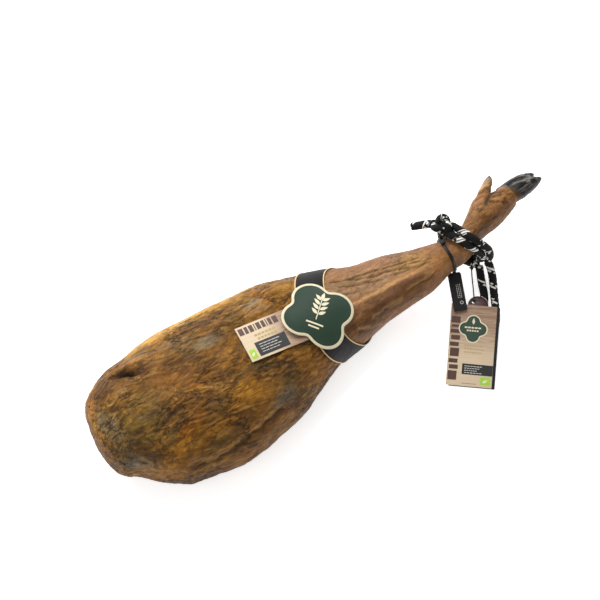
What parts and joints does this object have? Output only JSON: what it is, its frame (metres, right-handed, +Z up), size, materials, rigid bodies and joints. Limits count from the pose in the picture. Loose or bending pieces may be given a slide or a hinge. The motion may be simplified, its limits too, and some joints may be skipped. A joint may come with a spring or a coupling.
{
  "type": "whole cured ham with trotter",
  "caption": "Whole cured shoulder ham on the bone lying on its broad side, with trotter, label band, lobed badge, seal, rope loop and hang tags.",
  "frame": {"origin": "bottom centre of the ham's bounding box, on the surface that it lies on, without the free rope loop, string, disc and tags", "axes": "+X from the fat end to the claws, +Z up out of the surface, +Y across to the far side"},
  "size_m": [0.688, 0.27, 0.1183],
  "materials": {
    "cured_meat": "dry greasy rind, mottled brown and ochre",
    "black_ribbon": "satin woven ribbon with gilt edges",
    "badge_card": "coated board, dark green with a cream rim",
    "label_card": "uncoated board printed with pale wood grain",
    "back_card": "coated board, near black",
    "seal_plastic": "smooth moulded plastic",
    "rope": "braided rope, black with white flecks",
    "string": "waxed string",
    "disc_plastic": "moulded dark red brown plastic"
  },
  "bodies": {
    "root": {"ham_leg": "cured_meat", "label_band": "black_ribbon", "badge": "badge_card", "small_label": "label_card", "seal_strap": "seal_plastic", "rope_lashing": "rope", "rope_loop": "rope", "tag_string": "string", "disc_seal": "disc_plastic", "tag_front": "label_card", "tag_back": "back_card"}
  },
  "joints": []
}
